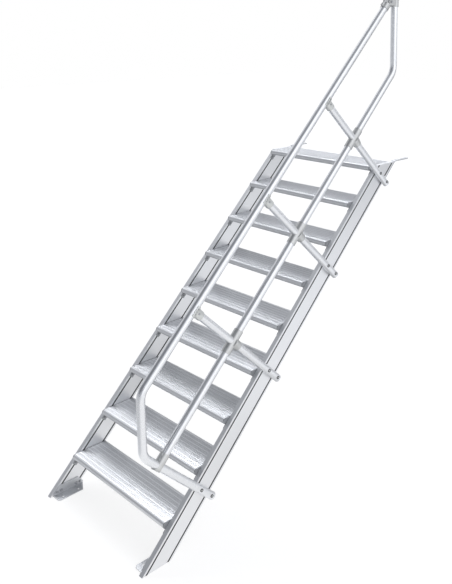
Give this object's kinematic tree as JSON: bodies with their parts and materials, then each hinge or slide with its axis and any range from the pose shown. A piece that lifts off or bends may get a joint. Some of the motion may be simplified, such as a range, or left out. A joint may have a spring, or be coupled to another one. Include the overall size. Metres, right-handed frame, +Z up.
{
  "type": "industrial access stair",
  "caption": "Straight aluminium access stair at 45 degrees with ribbed hollow treads between flat stringers and a tubular guardrail on one side.",
  "frame": {"origin": "centre between the two floor holes on the underside of the left foot bracket's flange", "axes": "+X to the right when climbing, +Y the climbing direction, +Z up"},
  "size_m": [1.0572, 2.2457, 2.9888],
  "materials": {
    "stringer_aluminium": "fine drawn mill finish, satin",
    "tread_aluminium": "ribbed extrusion, satin",
    "tube_aluminium": "smooth drawn tube, semi-bright",
    "cast_aluminium": "cast and tumbled, matt",
    "bracket_aluminium": "cut plate, matt",
    "fastener_steel": "zinc plated bolt",
    "plug_plastic": "moulded, matt black"
  },
  "bodies": {
    "root": {"stringer_left": "stringer_aluminium", "stringer_right": "stringer_aluminium", "tread_1": "tread_aluminium", "tread_2": "tread_aluminium", "tread_3": "tread_aluminium", "tread_4": "tread_aluminium", "tread_5": "tread_aluminium", "tread_6": "tread_aluminium", "tread_7": "tread_aluminium", "tread_8": "tread_aluminium", "tread_9": "tread_aluminium", "end_plates_left": "bracket_aluminium", "end_plates_right": "bracket_aluminium", "foot_bracket_left": "bracket_aluminium", "foot_bracket_right": "bracket_aluminium", "landing_lug_left": "bracket_aluminium", "landing_lug_right": "bracket_aluminium", "handrail": "tube_aluminium", "knee_rail_1": "tube_aluminium", "knee_rail_2": "tube_aluminium", "knee_rail_3": "tube_aluminium", "knee_rail_4": "tube_aluminium", "strut_1": "tube_aluminium", "cross_fitting_1": "cast_aluminium", "handrail_clamp_1": "cast_aluminium", "strut_2": "tube_aluminium", "cross_fitting_2": "cast_aluminium", "handrail_clamp_2": "cast_aluminium", "strut_3": "tube_aluminium", "cross_fitting_3": "cast_aluminium", "handrail_clamp_3": "cast_aluminium", "tee_fitting": "cast_aluminium", "post_collar": "cast_aluminium", "stringer_cap_left": "bracket_aluminium", "stringer_cap_right": "bracket_aluminium", "upper_strut_1": "tube_aluminium", "upper_strut_2": "tube_aluminium", "upper_strut_3": "tube_aluminium", "handrail_socket": "cast_aluminium", "swivel_pin": "fastener_steel", "post_plug": "plug_plastic"}
  },
  "joints": []
}
